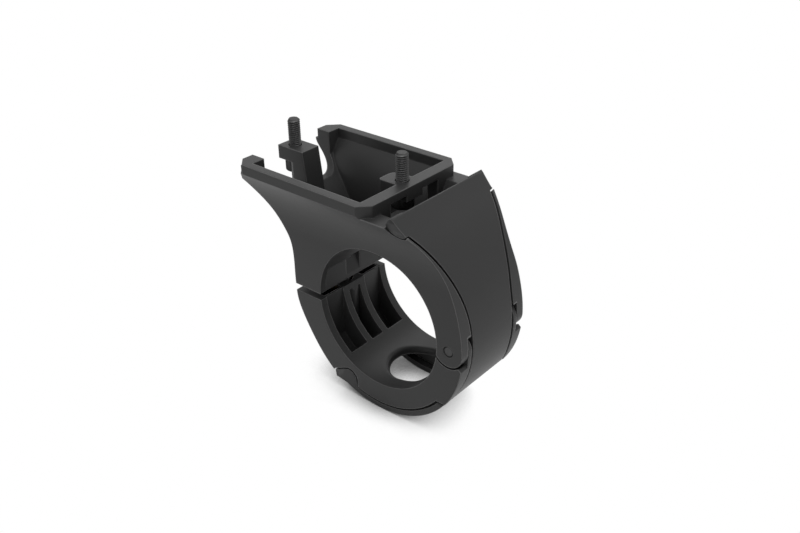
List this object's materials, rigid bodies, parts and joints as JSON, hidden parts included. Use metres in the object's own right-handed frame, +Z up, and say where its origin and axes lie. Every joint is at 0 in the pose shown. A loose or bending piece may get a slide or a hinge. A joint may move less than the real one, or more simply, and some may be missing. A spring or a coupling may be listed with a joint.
{
  "type": "e-bike display mount",
  "caption": "Hinged handlebar clamp with an open frame and upright studs that carry a display, and a clip-on cover over the cable run behind the hinge.",
  "frame": {"origin": "centre of the handlebar bore, midway between the clamp's two side faces", "axes": "+Y along the handlebar bore, +Z up through the display seat, +X towards the hinge"},
  "size_m": [0.0633, 0.0332, 0.0617],
  "materials": {
    "black_plastic": "fine matt moulded texture",
    "dark_steel": "blackened, fine threads",
    "steel": "ground",
    "brass": "plain"
  },
  "bodies": {
    "bracket_body": {"bracket": "black_plastic", "cover": "black_plastic", "hinge_pin_near": "steel", "hinge_pin_far": "steel", "front_stud_screw": "dark_steel", "rear_stud_screw": "dark_steel", "clamp_screw": "dark_steel"},
    "jaw_body": {"lower_jaw": "black_plastic", "clamp_nut": "brass"}
  },
  "joints": [
    {"name": "jaw_hinge", "type": "hinge", "parent": "bracket_body", "child": "jaw_body", "pos_m": [0.0206, 0, 0.0002], "axis": [0, -1, 0], "range_deg": [0, 60], "deforming": ["cover"]}
  ]
}
